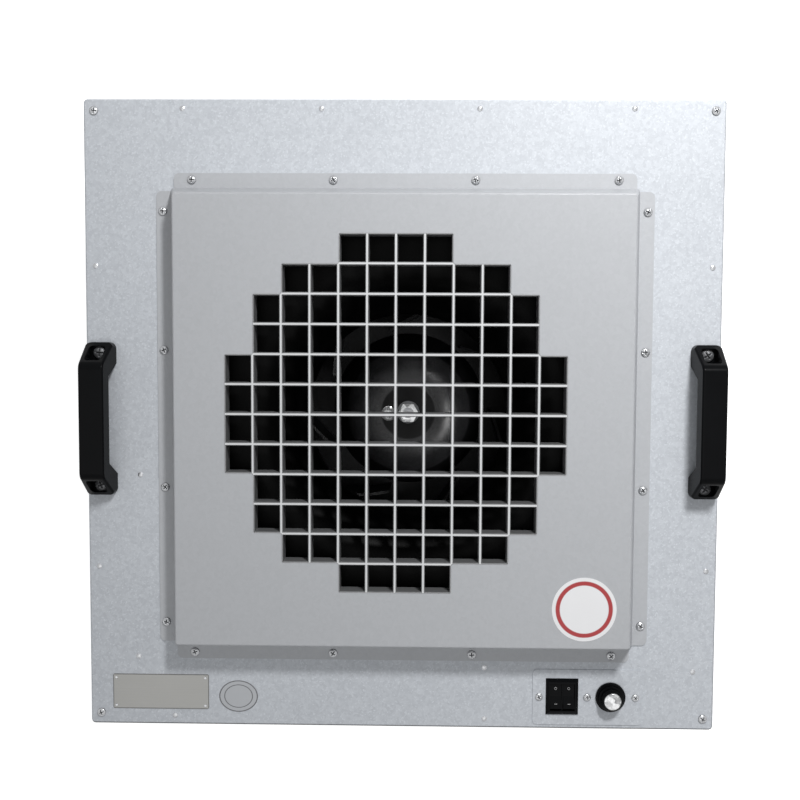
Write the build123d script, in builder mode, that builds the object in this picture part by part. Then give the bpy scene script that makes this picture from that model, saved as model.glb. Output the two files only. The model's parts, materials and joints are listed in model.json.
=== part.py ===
# Fan filter unit for a 600 mm ceiling grid: a galvanised plenum box with a raised
# inlet cover and grille, a motor driven impeller, and a pleated filter underneath.
#
# Millimetres. Z is up, towards the fan side. The origin lies in the middle of the
# underside of the filter frame. X runs along the control plate, Y away from it.
import os
from math import atan2, degrees
from build123d import *

os.makedirs("parts", exist_ok=True)

# ---------------------------------------------------------------- driving sizes
# sheet metal in general
sheet = 1.2
nest_gap = 0.1            # between one folded sheet and the sheet that caps it
hole_gap = 0.2            # a screw or rivet in its hole, on the radius
seat_gap = 0.3            # a loose or moving piece beside its neighbour

# top panel, a shallow tray that caps the walls
panel_x = 575.0
panel_y = 572.0
panel_top = 284.0         # height of its upper face
panel_lip = 15.0
panel_corner_r = 4.0
panel_fold_r = 2.0
inlet_hole_r = 162.0

# walls and their inward flanges
wall_base = 75.0          # underside of the lower flange
top_flange = 20.0
low_flange = 22.0

# raised inlet cover, a truncated pyramid with four flanges
cover_x = 421.0           # across the foot of the slopes
cover_y = 417.0
cover_rise = 34.0
cover_run = 8.5           # how far the slopes lean in
cover_at = (1.5, -1.5)
cover_flange = 13.0
cover_flange_r = 5.0
cover_edge_r = 3.0
cover_screw_inset = 7.0
cover_screw_pitch_x = 127.5
cover_screw_pitch_y = 125.0
cover_screws_a_side = 4

# intake grille, a moulded grid of upright bars in a stepped opening
grille_at = (-5.0, 5.6)
cell_x = 25.1
cell_y = 26.4
grille_bar = 3.0
grille_depth = 18.0
grille_ease = 0.7
grille_reveal = 1.2       # sheet edge stands back from the outermost cells
grille_rim = 9.0          # hidden border behind the sheet
step_columns = (12, 10, 8, 4)
step_rows = (4, 8, 10, 12)
step_corner_r = 1.8

# fan
fan_at = (5.0, 1.8)
ring_flange_r = 181.0
ring_throat_r = 94.0
ring_sheet = 1.6
bell_r = 50.0             # rounding of the mouth
ring_lip = 8.0            # straight part of the throat, below the bell
ring_screw_r = 172.0
ring_screws = 6
impeller_r = 150.0
impeller_base = 165.0
impeller_skin = 3.0
eye_gap = 4.5             # ring throat inside the shroud's eye
eye_overlap = 6.0
shroud_drop = 26.0
eye_collar = 5.0
shroud_bend = 70.0        # radius of the shroud's hollow curve
hub_r = 62.0
hub_foot_r = 76.0
hub_face_r = 27.0
hub_top = 226.0
hub_shoulder = 203.0
hub_bulge_r = 51.0        # a point on the crown of the hub
hub_bulge = 219.5
hub_plate = 4.0
blade_count = 7
blade_skin = 2.6
blade_in_r = 80.0
blade_sweep = 52.0        # degrees that the outer end trails the inner end
blade_bow = 9.0
blade_fall = 17.0         # the leading edge slopes down from the eye
boss_r = 13.0
lock_screw_at = (-19.0, -1.3)  # from the fan's axis
lock_screw_head_r = 7.0

# motor
shaft_r = 6.0
shaft_end_r = 5.0
shaft_low = 104.5
shaft_shoulder = 212.0
shaft_high = 239.0
shaft_fit = 0.02          # keyed and clamped on the shaft
bearing_fit = 0.05        # running fit, on the radius
bearing_r = 16.0
bearing_w = 10.0
motor_r = 50.0
motor_skin = 3.0
motor_flange_r = 64.0
motor_flange = 3.0
motor_high = 196.0
motor_cap = 4.0
stator_in_r = 28.0
stator_low = 122.0
stator_high = 178.0
rotor_air_gap = 0.5
winding_inset = 2.5
winding_h = 7.0
motor_screw_r = 57.0
washer_r = 10.8
washer = 2.0
nut_flats = 17.0
nut_h = 8.0

# fan carrier
stud_r = 4.0
stud_reach = 139.0        # from the fan axis, along X and along Y
stud_low = 76.0
spider_low = 98.0
spider = 3.0
spider_hub_r = 68.0
spider_arm = 34.0
spider_rib = 12.0
spider_vent_r = 22.0
damper_r = 13.0
damper_neck_r = 8.5
damper_flange = 4.0
stud_nut_flats = 13.0
stud_nut_h = 6.5
baffle_size = 330.0
baffle_low = 83.0
baffle_edge = 8.0

# handles
handle_reach = 273.0      # from the middle of the panel
handle_y = -1.5
handle_length = 139.0
handle_grip_length = 100.0
handle_high = 36.0
handle_foot_w = 26.0
handle_top_w = 22.0
handle_heel = 7.0         # upright part of each end
handle_leg = 19.0         # length of each foot
handle_grip = 15.0        # thickness of the grip
handle_gap_length = 78.0  # finger gap under the grip
handle_screw_pitch = 120.0
handle_well_x = 15.0
handle_well_y = 13.0
handle_floor = 6.0
handle_edge_r = 2.0
handle_shoulder_r = 9.0
handle_heel_r = 5.0
handle_end_r = 6.0        # rounded ends of the feet, seen from above
handle_well_r = 3.0
handle_screw_r = 3.0
handle_screw_head_r = 5.6
handle_screw_head = 3.5
handle_screw_tail = 8.0
handle_nut_flats = 10.0
handle_nut_h = 5.0

# control plate with its switch and speed knob
plate_x = 100.0
plate_y = 51.5
plate_at = (171.6, -256.0)
plate_sheet = 1.0
plate_corner_r = 4.0
plate_screw_x = 44.2
switch_at = (148.5, -255.2)
bezel_x = 29.6
bezel_y = 33.5
bezel_h = 3.5
bezel_bevel = 2.6
switch_well_x = 22.8
switch_well_y = 24.9
switch_well_depth = 12.5  # below the top of the bezel
switch_body_x = 26.6
switch_body_y = 29.6
switch_body_h = 23.0
switch_rib = 1.2
rocker_gap = 0.2
rocker_half = 11.3
rocker_tip = 5.8          # above the pivot
rocker_dip = 4.1
rocker_heel = 1.6
rocker_pin_r = 1.4
rocker_pin_l = 0.45
rocker_tilt = 9.0
pivot_drop = 6.0          # below the top of the bezel
tab_w = 6.3
tab_t = 0.8
tab_h = 8.0
knob_at = (192.8, -255.2)
knob_skirt_r = 13.6
knob_step_r = 11.6
knob_grip_r = 9.8
knob_skirt_h = 3.2
knob_step_h = 3.6
knob_h = 12.2
knob_cap_r = 7.8
knob_cap_h = 1.4
knob_stand = 0.5
knob_edge = 1.2
knob_shaft_r = 3.0
knob_shaft_low = 274.0
pot_r = 11.5
pot_h = 10.0
pot_neck_r = 4.5
pot_nut_flats = 11.0
pot_nut_h = 2.0
knob_recess_r = 7.6
knob_recess_h = 3.0
board_x = 40.0
board_y = 30.0
board_shift = 2.5         # clear of the control box wall
board_t = 1.6

# folded boxes under the panel
control_box_x = (70.0, 274.0)
control_box_y = (-272.0, -221.0)
control_box_h = 48.0
terminal_box_x = (-262.0, -222.0)
terminal_box_y = (-233.0, -42.0)
terminal_box_h = 44.0
box_sheet = 1.0
control_box_flange = 14.0
terminal_box_flange = 16.0
capacitor_r = 16.0
capacitor_l = 74.0
capacitor_gap = 6.0
capacitor_edge = 1.5
terminal_x = 18.0
terminal_y = 52.0
terminal_h = 16.0
terminal_ways = 5
terminal_slot = 1.5

# plates and stickers on the outside
nameplate_x = 89.0
nameplate_y = 32.5
nameplate_at = (-222.0, -255.0)
nameplate_t = 0.5
nameplate_corner_r = 1.5
nameplate_pin_r = 1.1
nameplate_pin_h = 0.6
nameplate_pin_inset = 3.2
oval_at = (-150.0, -258.8)
oval_rx = 18.1
oval_ry = 14.9
round_at = (162.5, -165.5)
round_r = 28.5
sticker_t = 0.25

# small fasteners
screw_head_r = 3.9
screw_head_h = 2.4
screw_r = 2.0
screw_l = 7.0
plate_screw_head_r = 3.3
plate_screw_head_h = 1.9
rivet_head_r = 2.4
rivet_head_h = 1.1
rivet_r = 1.6
corner_screw_x = 277.8
corner_screw_y = 275.4
rivet_line_x = 278.0
rivet_line_y = 277.4
back_rivets_x = (-198.0, -73.0, 68.5, 206.0)
side_rivets_y = (137.0, -138.0)
front_rivets_x = (-209.0, 77.5)
control_rivets = ((77.0, -229.5), (268.0, -231.5))
terminal_rivets = ((-239.0, -53.0), (-242.5, -222.0))

# acoustic lining and cable outlet
liner_t = 10.0
liner_low = 78.0
liner_high = 262.0
grommet_at = (-180.0, 236.0)   # along Y, and height
grommet_r = 9.0
grommet_bore_r = 4.5
grommet_flange_r = 12.0
grommet_flange = 2.0

# filter
filter_x = 569.0
filter_y = 566.0
filter_h = 69.0
filter_skin = 2.0
filter_flange = 16.0
filter_shoulder = 6.0
groove_low = 42.0
groove_h = 5.0
groove_depth = 4.0
groove_wall = 2.0
guard_t = 1.0
guard_cells = 10
guard_bar = 4.0
guard_border = 26.0
pleat_pitch = 11.0
pleat_low = 3.6
pleat_high = 62.0
pleat_web = 6.0
pack_gap = 0.5
gasket_w = 15.0
clip_w = 24.0
clip_t = 1.2
clip_high = 98.0
clip_screw_z = 86.0
clip_spread = 170.0
clip_screw_head_h = 1.8

# ---------------------------------------------------------------- derived sizes
panel_under = panel_top - sheet
wall_x = panel_x - 2 * (sheet + nest_gap)
wall_y = panel_y - 2 * (sheet + nest_gap)
cover_top = panel_top + cover_rise
cover_lean = degrees(atan2(cover_run, cover_rise))
cover_inner_top = cover_top - sheet
plate_top = panel_top + plate_sheet
bezel_top = plate_top + bezel_h
pivot_z = bezel_top - pivot_drop
knob_low = plate_top + knob_stand
knob_high = knob_low + knob_h
ring_top = panel_top + ring_sheet
throat_low = ring_top - bell_r - ring_lip
eye_r = ring_throat_r + ring_sheet + eye_gap
eye_top = throat_low + eye_overlap
shroud_rim = eye_top - eye_collar - shroud_drop
gasket_t = wall_base - filter_h
up = (Align.CENTER, Align.CENTER, Align.MIN)
down = (Align.CENTER, Align.CENTER, Align.MAX)

cover_screw_line_x = cover_x / 2 + cover_screw_inset
cover_screw_line_y = cover_y / 2 + cover_screw_inset
panel_rivets = (
    [(x, rivet_line_y) for x in back_rivets_x]
    + [(x, -rivet_line_y) for x in front_rivets_x]
    + [(side * rivet_line_x, y) for side in (-1, 1) for y in side_rivets_y]
)
inner_rivets = list(control_rivets) + list(terminal_rivets)
corner_screw_places = [
    (sx * corner_screw_x, sy * corner_screw_y) for sx in (-1, 1) for sy in (-1, 1)
]
handle_screw_places = [
    (sx * handle_reach, handle_y + sy * handle_screw_pitch / 2)
    for sx in (-1, 1)
    for sy in (-1, 1)
]
plate_screw_places = [
    (plate_at[0] + i * plate_screw_x, plate_at[1]) for i in (-1, 0, 1)
]
stud_places = [
    (fan_at[0] + sx * stud_reach, fan_at[1] + sy * stud_reach)
    for sx in (-1, 1)
    for sy in (-1, 1)
]


def row_of(count, pitch):
    """Places of a centred row"""
    return [(i - (count - 1) / 2) * pitch for i in range(count)]


cover_screw_places = [
    (cover_at[0] + x, cover_at[1] + side * cover_screw_line_y)
    for side in (-1, 1)
    for x in row_of(cover_screws_a_side, cover_screw_pitch_x)
] + [
    (cover_at[0] + side * cover_screw_line_x, cover_at[1] + y)
    for side in (-1, 1)
    for y in row_of(cover_screws_a_side, cover_screw_pitch_y)
]


def save(part, label):
    """Name a finished piece and write its file"""
    part.label = label
    export_step(part, f"parts/{label}.step")


def section(at):
    """Upright plane through a Z axis, with radius along its X and height along its Y"""
    return Plane(origin=(at[0], at[1], 0), x_dir=(1, 0, 0), z_dir=(0, -1, 0))


def upright(at):
    """The Z axis through a place on the panel"""
    return Axis((at[0], at[1], 0), (0, 0, 1))


def turned(at, *outline):
    """A turned piece from its outline of radius and height"""
    with BuildPart() as body:
        with BuildSketch(section(at)):
            with BuildLine():
                Polyline(*outline, close=True)
            make_face()
        revolve(axis=upright(at))
    return body.part


def pan_head(head_r, head_h, shank_r, shank_l):
    """A pan head screw, its head standing on z = 0"""
    rim = (head_r, head_h * 0.4)
    with BuildPart() as screw:
        with BuildSketch(Plane.XZ):
            with BuildLine():
                TangentArc((0, head_h), rim, tangent=(1, 0))
                Polyline(rim, (head_r, 0), (shank_r, 0), (shank_r, -shank_l), (0, -shank_l))
                Line((0, -shank_l), (0, head_h))
            make_face()
        revolve(axis=Axis.Z)
    return screw.part


def hex_nut(flats, height, bore_r):
    """A hexagon nut standing on z = 0"""
    with BuildPart() as nut:
        with BuildSketch():
            RegularPolygon(flats / 2, 6, major_radius=False)
            Circle(bore_r, mode=Mode.SUBTRACT)
        extrude(amount=height)
    return nut.part


# ---------------------------------------------------------------- box
# The panel is one sheet folded down on four sides; the cover, the inlet ring, the
# handles and the controls all stand on it.
with BuildPart() as top_panel:
    with BuildSketch(Plane.XY.offset(panel_top - panel_lip)):
        RectangleRounded(panel_x, panel_y, panel_corner_r)
    extrude(amount=panel_lip)
    fillet(top_panel.faces().sort_by(Axis.Z)[-1].edges(), panel_fold_r)
    with BuildSketch(Plane.XY.offset(panel_top - panel_lip)):
        RectangleRounded(panel_x - 2 * sheet, panel_y - 2 * sheet, panel_corner_r - sheet)
    extrude(amount=panel_lip - sheet, mode=Mode.SUBTRACT)
    with Locations((fan_at[0], fan_at[1], panel_top)):
        Hole(inlet_hole_r)
    with Locations(*[(x, y, panel_top) for x, y in corner_screw_places + cover_screw_places]):
        Hole(screw_r + hole_gap)
    with Locations(*[(x, y, panel_top) for x, y in plate_screw_places]):
        Hole(screw_r + hole_gap)
    with Locations(*[(x, y, panel_top) for x, y in panel_rivets + inner_rivets]):
        Hole(rivet_r)
    with Locations(*[(x, y, panel_top) for x, y in handle_screw_places]):
        Hole(handle_screw_r + hole_gap)
    with Locations((fan_at[0], fan_at[1], panel_top)):
        with PolarLocations(ring_screw_r, ring_screws):
            Hole(screw_r + hole_gap)
    with Locations((knob_at[0], knob_at[1], panel_top)):
        Hole(pot_neck_r + hole_gap)
    with BuildSketch(Plane.XY.offset(panel_under)):
        with Locations(switch_at):
            Rectangle(switch_body_x + 2 * hole_gap, switch_body_y + 2 * hole_gap)
    extrude(amount=sheet, mode=Mode.SUBTRACT)
save(top_panel.part, "top_panel")

# One wrapped sheet makes the four walls. Its upper flange carries the panel and its
# lower flange presses on the gasket.
with BuildPart() as plenum_walls:
    with BuildSketch(Plane.XY.offset(wall_base)):
        Rectangle(wall_x, wall_y)
    extrude(amount=panel_under - wall_base)
    fillet(plenum_walls.edges().filter_by(Axis.Z), panel_corner_r - sheet - nest_gap)
    with BuildSketch(Plane.XY.offset(wall_base + sheet)):
        Rectangle(wall_x - 2 * sheet, wall_y - 2 * sheet)
    extrude(amount=panel_under - wall_base - 2 * sheet, mode=Mode.SUBTRACT)
    with BuildSketch(Plane.XY.offset(wall_base)):
        Rectangle(wall_x - 2 * low_flange, wall_y - 2 * low_flange)
    extrude(amount=sheet, mode=Mode.SUBTRACT)
    with BuildSketch(Plane.XY.offset(panel_under - sheet)):
        Rectangle(wall_x - 2 * top_flange, wall_y - 2 * top_flange)
    extrude(amount=sheet, mode=Mode.SUBTRACT)
    # the flange is notched where the control box hangs
    with BuildSketch(Plane.XY.offset(panel_under - sheet)):
        with Locations((sum(control_box_x) / 2, sum(control_box_y) / 2)):
            Rectangle(
                control_box_x[1] - control_box_x[0] + 2 * seat_gap,
                control_box_y[1] - control_box_y[0] + 2 * seat_gap,
            )
    extrude(amount=sheet, mode=Mode.SUBTRACT)
    with Locations(*[(x, y, panel_under) for x, y in corner_screw_places]):
        Hole(screw_r + hole_gap, depth=2 * sheet)
    with Locations(*[(x, y, panel_under) for x, y in panel_rivets]):
        Hole(rivet_r, depth=2 * sheet)
    with Locations(*[(x, y, panel_under) for x, y in handle_screw_places]):
        Hole(handle_screw_r + hole_gap, depth=2 * sheet)
    with BuildSketch(Plane.YZ.offset(wall_x / 2 - sheet)):
        with Locations(grommet_at):
            Circle(grommet_r)
    extrude(amount=sheet, mode=Mode.SUBTRACT)
    with BuildSketch(Plane.YZ.offset(-wall_x / 2)):
        with Locations((-clip_spread, clip_screw_z), (clip_spread, clip_screw_z)):
            Circle(screw_r + hole_gap)
    extrude(amount=wall_x, mode=Mode.SUBTRACT)
    with BuildSketch(Plane.XZ.offset(-wall_y / 2)):
        with Locations((-clip_spread, clip_screw_z), (clip_spread, clip_screw_z)):
            Circle(screw_r + hole_gap)
    extrude(amount=wall_y, mode=Mode.SUBTRACT)
save(plenum_walls.part, "plenum_walls")

# Four foam boards line the walls, butted at the corners.
liner_x = wall_x - 2 * sheet
liner_y = wall_y - 2 * sheet
liner_h = liner_high - liner_low
with BuildPart() as wall_lining:
    with Locations(*[(side * (liner_x - liner_t) / 2, 0, liner_low) for side in (-1, 1)]):
        Box(liner_t, liner_y, liner_h, align=up)
    with Locations(*[(0, side * (liner_y - liner_t) / 2, liner_low) for side in (-1, 1)]):
        Box(liner_x - 2 * liner_t, liner_t, liner_h, align=up)
    with BuildSketch(Plane.YZ.offset(liner_x / 2 - liner_t)):
        with Locations(grommet_at):
            Circle(grommet_flange_r + seat_gap)
    extrude(amount=liner_t, mode=Mode.SUBTRACT)
save(wall_lining.part, "wall_lining")

# A rubber grommet for the supply lead, grooved to grip the wall.
with BuildPart() as cable_grommet:
    with BuildSketch(Plane.YZ.offset(wall_x / 2 - sheet - grommet_flange)):
        with Locations(grommet_at):
            Circle(grommet_flange_r)
    extrude(amount=sheet + 2 * grommet_flange)
    with BuildSketch(Plane.YZ.offset(wall_x / 2 - sheet)):
        with Locations(grommet_at):
            Circle(grommet_flange_r)
            Circle(grommet_r, mode=Mode.SUBTRACT)
    extrude(amount=sheet, mode=Mode.SUBTRACT)
    with BuildSketch(Plane.YZ.offset(wall_x / 2 - sheet - grommet_flange)):
        with Locations(grommet_at):
            Circle(grommet_bore_r)
    extrude(amount=sheet + 2 * grommet_flange, mode=Mode.SUBTRACT)
save(cable_grommet.part, "cable_grommet")


# ---------------------------------------------------------------- inlet cover
def stepped_outline(margin):
    """Outline of the stepped round opening, grown by a margin"""
    with BuildSketch() as outline:
        with Locations(grille_at):
            for columns, rows in zip(step_columns, step_rows):
                Rectangle(
                    columns * cell_x - grille_bar + 2 * margin,
                    rows * cell_y - grille_bar + 2 * margin,
                )
    return outline.sketch


def flange_tab(length):
    """One flange with two rounded outer corners, its fold line on Y = 0"""
    with BuildSketch() as tab:
        Rectangle(length, cover_flange, align=(Align.CENTER, Align.MIN))
        fillet(tab.vertices().group_by(Axis.Y)[-1], cover_flange_r)
    return tab.sketch


with BuildPart() as inlet_cover:
    with BuildSketch(Plane.XY.offset(panel_top)):
        with Locations(cover_at):
            Rectangle(cover_x, cover_y)
    extrude(amount=cover_rise, taper=cover_lean)
    fillet(
        inlet_cover.edges().filter_by(GeomType.LINE).filter_by(
            lambda edge: edge.bounding_box().size.Z > cover_rise / 2
        ),
        cover_edge_r,
    )
    fillet(inlet_cover.faces().sort_by(Axis.Z)[-1].edges(), panel_fold_r)
    with BuildSketch(Plane.XY.offset(panel_top)):
        with Locations(cover_at):
            RectangleRounded(cover_x - 2 * sheet, cover_y - 2 * sheet, cover_edge_r)
    extrude(amount=cover_rise - sheet, taper=cover_lean, mode=Mode.SUBTRACT)
    for turn, reach, side in (
        (0, cover_y / 2, cover_x),
        (90, cover_x / 2, cover_y),
        (180, cover_y / 2, cover_x),
        (270, cover_x / 2, cover_y),
    ):
        length = side - 2 * cover_edge_r
        with BuildSketch(
            Plane((cover_at[0], cover_at[1], panel_top)).rotated((0, 0, turn))
        ):
            with Locations((0, reach)):
                add(flange_tab(length))
                with Locations((0, -sheet)):
                    Rectangle(length, sheet, align=(Align.CENTER, Align.MIN))
        extrude(amount=sheet)
    with BuildSketch(Plane.XY.offset(cover_inner_top)) as stepped_hole:
        add(stepped_outline(grille_reveal))
        fillet(stepped_hole.vertices(), step_corner_r)
    extrude(amount=sheet, mode=Mode.SUBTRACT)
    with Locations(*[(x, y, panel_top + sheet) for x, y in cover_screw_places]):
        Hole(screw_r + hole_gap, depth=sheet)
save(inlet_cover.part, "inlet_cover")

# The grille's border sits behind the sheet; its bars come up flush with the face.
cells = [
    (
        grille_at[0] + column * cell_x,
        grille_at[1] + row * cell_y,
    )
    for columns, rows in zip(step_columns, step_rows)
    for column in row_of(columns, 1)
    for row in row_of(rows, 1)
]
with BuildPart() as intake_grille:
    with BuildSketch(Plane.XY.offset(cover_top - grille_depth)):
        add(stepped_outline(grille_rim))
    extrude(amount=grille_depth - sheet)
    with BuildSketch(Plane.XY.offset(cover_inner_top)) as raised_rim:
        add(stepped_outline(grille_reveal - seat_gap))
        fillet(raised_rim.vertices(), step_corner_r)
    extrude(amount=sheet)
    with BuildSketch(Plane.XY.offset(cover_top - grille_depth)):
        with Locations(*sorted(set(cells))):
            Rectangle(cell_x - grille_bar, cell_y - grille_bar)
    extrude(amount=grille_depth, mode=Mode.SUBTRACT)
    # the upper edges of the bars are eased
    with BuildSketch(Plane.XY.offset(cover_top - grille_ease)):
        with Locations(*sorted(set(cells))):
            Rectangle(cell_x - grille_bar, cell_y - grille_bar)
    extrude(amount=grille_ease, taper=-45, mode=Mode.SUBTRACT)
save(intake_grille.part, "intake_grille")

with BuildPart() as cover_screws:
    with Locations(*[(x, y, panel_top + sheet) for x, y in cover_screw_places]):
        add(pan_head(screw_head_r, screw_head_h, screw_r, screw_l))
save(cover_screws.part, "cover_screws")

with BuildPart() as corner_screws:
    with Locations(*[(x, y, panel_top) for x, y in corner_screw_places]):
        add(pan_head(screw_head_r, screw_head_h, screw_r, screw_l))
save(corner_screws.part, "corner_screws")

with BuildPart() as panel_rivet_set:
    with Locations(*[(x, y, panel_top) for x, y in panel_rivets + inner_rivets]):
        add(pan_head(rivet_head_r, rivet_head_h, rivet_r, 2 * sheet))
save(panel_rivet_set.part, "panel_rivets")

# ---------------------------------------------------------------- inlet ring
# A spun bell: a flat flange on the panel, a rounded mouth and a short straight throat.
mouth_r = ring_throat_r + bell_r
throat_top = ring_top - bell_r
bell_centre = (mouth_r, throat_top)
with BuildPart() as inlet_ring:
    with BuildSketch(section(fan_at)):
        with BuildLine():
            Polyline(
                (mouth_r, ring_top),
                (ring_flange_r, ring_top),
                (ring_flange_r, panel_top),
                (mouth_r, panel_top),
            )
            CenterArc(bell_centre, bell_r - ring_sheet, 90, 90)
            Polyline(
                (ring_throat_r + ring_sheet, throat_top),
                (ring_throat_r + ring_sheet, throat_low),
                (ring_throat_r, throat_low),
                (ring_throat_r, throat_top),
            )
            CenterArc(bell_centre, bell_r, 90, 90)
        make_face()
    revolve(axis=upright(fan_at))
    with Locations((fan_at[0], fan_at[1], ring_top)):
        with PolarLocations(ring_screw_r, ring_screws):
            Hole(screw_r + hole_gap, depth=ring_sheet)
save(inlet_ring.part, "inlet_ring")

with BuildPart() as inlet_ring_screws:
    with Locations((fan_at[0], fan_at[1], ring_top)):
        with PolarLocations(ring_screw_r, ring_screws):
            add(pan_head(plate_screw_head_r, plate_screw_head_h, screw_r, screw_l))
save(inlet_ring_screws.part, "inlet_ring_screws")

# ---------------------------------------------------------------- impeller
# One moulding: back plate, domed hub, backward curved blades and a trumpet shroud.
back_face = impeller_base + impeller_skin
hub_plate_low = hub_top - hub_plate
shroud_top = eye_top - eye_collar
blade_top = shroud_top + impeller_skin
bore_r = shaft_end_r + shaft_fit
blade_root = Vector(blade_in_r, 0)
blade_end = Vector(impeller_r - impeller_skin, 0).rotate(Axis.Z, -blade_sweep)
blade_side = (blade_end - blade_root).rotate(Axis.Z, 90).normalized()
blade_middle = (blade_root + blade_end) * 0.5 + blade_side * blade_bow
with BuildSketch() as blade:
    with BuildLine():
        ThreePointArc(blade_root, blade_middle, blade_end)
    trace(line_width=blade_skin)
with BuildPart() as impeller:
    # blades, each a bowed strip whose outer end trails the inner one
    with BuildSketch(Plane.XY.offset(impeller_base)):
        with Locations(fan_at):
            with PolarLocations(0, blade_count):
                add(blade.sketch)
    extrude(amount=blade_top - impeller_base)
    # their upper edges follow the shroud and slope down inside the eye
    with BuildSketch(section(fan_at)):
        with BuildLine():
            Polyline(
                (eye_r, shroud_top),
                (hub_r, shroud_top - blade_fall),
                (hub_r, blade_top),
                (impeller_r + impeller_skin, blade_top),
                (impeller_r + impeller_skin, shroud_rim),
                (impeller_r, shroud_rim),
            )
            RadiusArc((impeller_r, shroud_rim), (eye_r, shroud_top), shroud_bend)
        make_face()
    revolve(axis=upright(fan_at), mode=Mode.SUBTRACT)
    # back plate and hub in one turned section
    with BuildSketch(section(fan_at)):
        with BuildLine():
            Polyline(
                (hub_foot_r - impeller_skin, impeller_base),
                (impeller_r, impeller_base),
                (impeller_r, back_face),
                (hub_foot_r, back_face),
                (hub_r, hub_shoulder),
            )
            ThreePointArc((hub_r, hub_shoulder), (hub_bulge_r, hub_bulge), (hub_face_r, hub_top))
            Polyline(
                (hub_face_r, hub_top),
                (bore_r, hub_top),
                (bore_r, shaft_shoulder),
                (boss_r, shaft_shoulder),
                (boss_r, hub_plate_low),
                (hub_face_r, hub_plate_low),
            )
            Polyline(
                (hub_face_r, hub_plate_low),
                (hub_bulge_r, hub_bulge - hub_plate),
                (hub_r - impeller_skin, hub_shoulder),
                (hub_foot_r - impeller_skin, impeller_base),
            )
        make_face()
    revolve(axis=upright(fan_at))
    # shroud
    with BuildSketch(section(fan_at)):
        with BuildLine():
            RadiusArc((impeller_r, shroud_rim), (eye_r, shroud_top), shroud_bend)
            Polyline(
                (eye_r, shroud_top),
                (eye_r, eye_top),
                (eye_r + impeller_skin, eye_top),
                (eye_r + impeller_skin, shroud_top),
            )
            RadiusArc(
                (eye_r + impeller_skin, shroud_top),
                (impeller_r, shroud_rim + impeller_skin),
                -shroud_bend,
            )
            Line((impeller_r, shroud_rim + impeller_skin), (impeller_r, shroud_rim))
        make_face()
    revolve(axis=upright(fan_at))
    with Locations((fan_at[0] + lock_screw_at[0], fan_at[1] + lock_screw_at[1], hub_top)):
        Hole(screw_r, depth=hub_plate)
save(impeller.part, "impeller")

with BuildPart() as hub_lock_screw:
    with Locations((fan_at[0] + lock_screw_at[0], fan_at[1] + lock_screw_at[1], hub_top)):
        add(pan_head(lock_screw_head_r, screw_head_h, screw_r, screw_l))
save(hub_lock_screw.part, "hub_lock_screw")

with BuildPart() as shaft_washer:
    with BuildSketch(Plane.XY.offset(hub_top)):
        with Locations(fan_at):
            Circle(washer_r)
            Circle(shaft_end_r + nest_gap, mode=Mode.SUBTRACT)
    extrude(amount=washer)
save(shaft_washer.part, "shaft_washer")

with BuildPart() as shaft_nut:
    with Locations((fan_at[0], fan_at[1], hub_top + washer)):
        add(hex_nut(nut_flats, nut_h, shaft_end_r))
save(shaft_nut.part, "shaft_nut")

# ---------------------------------------------------------------- motor
motor_low = spider_low + spider
bearing_low = motor_low + sheet
bearing_high = motor_high - bearing_w
seat_r = bearing_r + shaft_fit
boss_out_r = bearing_r + motor_skin
shaft_hole_r = shaft_r + seat_gap
save(
    turned(
        fan_at,
        (0, shaft_low),
        (shaft_r, shaft_low),
        (shaft_r, shaft_shoulder),
        (shaft_end_r, shaft_shoulder),
        (shaft_end_r, shaft_high),
        (0, shaft_high),
    ),
    "motor_shaft",
)
with BuildPart() as motor_housing:
    add(
        turned(
            fan_at,
            (shaft_hole_r, motor_low),
            (motor_flange_r, motor_low),
            (motor_flange_r, motor_low + motor_flange),
            (motor_r, motor_low + motor_flange),
            (motor_r, motor_high),
            (motor_r - motor_skin, motor_high),
            (motor_r - motor_skin, motor_low + motor_flange),
            (boss_out_r, motor_low + motor_flange),
            (boss_out_r, bearing_low + bearing_w),
            (seat_r, bearing_low + bearing_w),
            (seat_r, bearing_low),
            (shaft_hole_r, bearing_low),
        )
    )
    with Locations((fan_at[0], fan_at[1], motor_low + motor_flange)):
        with PolarLocations(motor_screw_r, 4):
            Hole(screw_r + hole_gap, depth=motor_flange)
save(motor_housing.part, "motor_housing")
save(
    turned(
        fan_at,
        (shaft_hole_r, motor_high + motor_cap),
        (motor_r, motor_high + motor_cap),
        (motor_r, motor_high),
        (boss_out_r, motor_high),
        (boss_out_r, bearing_high),
        (seat_r, bearing_high),
        (seat_r, motor_high),
        (shaft_hole_r, motor_high),
    ),
    "motor_end_cap",
)
for label, low in (("bearing_lower", bearing_low), ("bearing_upper", bearing_high)):
    save(
        turned(
            fan_at,
            (shaft_r + bearing_fit, low),
            (bearing_r, low),
            (bearing_r, low + bearing_w),
            (shaft_r + bearing_fit, low + bearing_w),
        ),
        label,
    )
save(
    turned(
        fan_at,
        (stator_in_r, stator_low),
        (motor_r - motor_skin, stator_low),
        (motor_r - motor_skin, stator_high),
        (stator_in_r, stator_high),
    ),
    "stator_core",
)
winding_in_r = stator_in_r + winding_inset
winding_out_r = motor_r - motor_skin - winding_inset
with BuildPart() as stator_windings:
    for low in (stator_low - winding_h, stator_high):
        with BuildSketch(Plane.XY.offset(low)):
            with Locations(fan_at):
                Circle(winding_out_r)
                Circle(winding_in_r, mode=Mode.SUBTRACT)
        extrude(amount=winding_h)
save(stator_windings.part, "stator_windings")
save(
    turned(
        fan_at,
        (shaft_r + shaft_fit, stator_low),
        (stator_in_r - rotor_air_gap, stator_low),
        (stator_in_r - rotor_air_gap, stator_high),
        (shaft_r + shaft_fit, stator_high),
    ),
    "rotor_core",
)

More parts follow.
